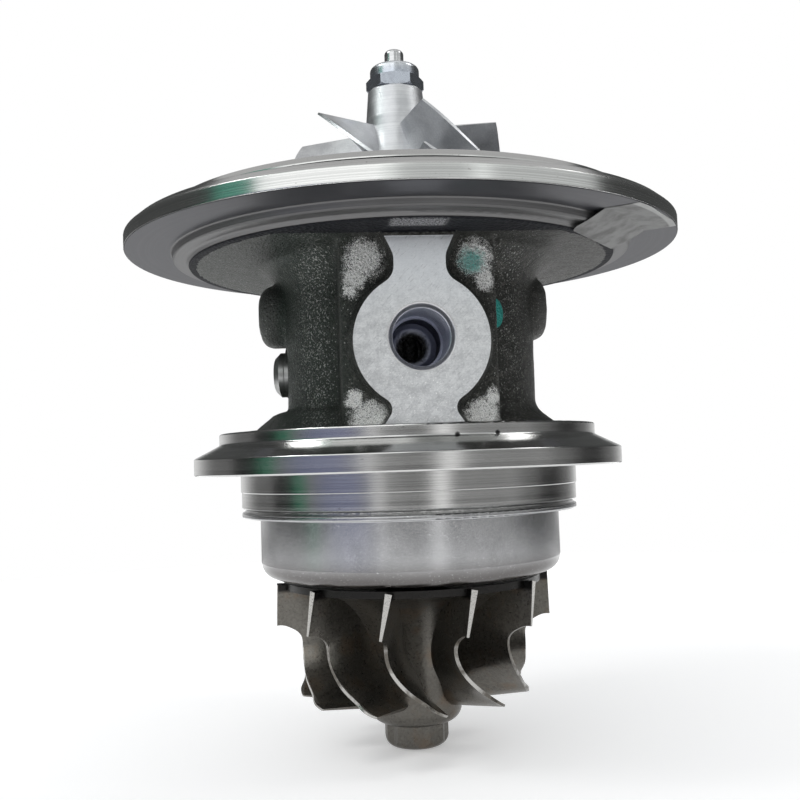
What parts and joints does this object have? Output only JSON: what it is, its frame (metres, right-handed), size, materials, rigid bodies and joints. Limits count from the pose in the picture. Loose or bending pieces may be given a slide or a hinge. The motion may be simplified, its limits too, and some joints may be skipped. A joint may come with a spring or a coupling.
{
  "type": "turbocharger cartridge",
  "caption": "Turbocharger centre section: bearing housing with V-band and cover flanges, oil pad, heat shield, compressor wheel and turbine wheel on a shaft.",
  "frame": {"origin": "centre of the seating face of the turbine flange, on the rotor axis", "axes": "+Z along the rotor axis towards the compressor; the oil inlet pad faces -Y and the oil drain +Y"},
  "size_m": [0.135, 0.135, 0.1737],
  "materials": {
    "cast_iron": "sand cast, machined bright on flanges and pad",
    "shield_steel": "pressed sheet, satin",
    "plain_steel": "turned",
    "spring_steel": "dark spring steel",
    "bronze": "turned bearing bronze",
    "wheel_aluminium": "satin cast and milled",
    "wheel_alloy": "dark cast alloy with ground edges",
    "nut_steel": "dark polished steel",
    "seal_rubber": "black O-ring rubber",
    "sticker_paper": "bare white film"
  },
  "bodies": {
    "housing": {"bearing_housing": "cast_iron", "heat_shield": "shield_steel", "seal_plate": "plain_steel", "seal_plate_o_ring": "seal_rubber", "seal_plate_snap_ring": "spring_steel", "cover_o_ring": "seal_rubber", "thrust_bearing": "bronze", "thrust_dowels": "spring_steel", "oil_deflector": "shield_steel", "turbine_piston_ring": "spring_steel", "compressor_piston_ring": "spring_steel", "turbine_bush_ring": "spring_steel", "compressor_bush_inner_ring": "spring_steel", "compressor_bush_outer_ring": "spring_steel", "side_plug": "plain_steel", "side_plug_washer": "plain_steel", "blank_sticker": "sticker_paper"},
    "rotor": {"rotor_shaft": "plain_steel", "turbine_wheel": "wheel_alloy", "thrust_ring": "plain_steel", "thrust_sleeve": "plain_steel", "compressor_wheel": "wheel_aluminium", "shaft_nut": "nut_steel"},
    "turbine_bush": {"turbine_journal_bearing": "bronze"},
    "compressor_bush": {"compressor_journal_bearing": "bronze"}
  },
  "joints": [
    {"name": "rotor_spin", "type": "hinge", "parent": "housing", "child": "rotor", "pos_m": [0, 0, 0], "axis": [0, 0, 1], "continuous": true},
    {"name": "turbine_bush_spin", "type": "hinge", "parent": "housing", "child": "turbine_bush", "pos_m": [0, 0, 0.0057], "axis": [0, 0, 1], "continuous": true},
    {"name": "compressor_bush_spin", "type": "hinge", "parent": "housing", "child": "compressor_bush", "pos_m": [0, 0, 0.039], "axis": [0, 0, 1], "continuous": true}
  ]
}
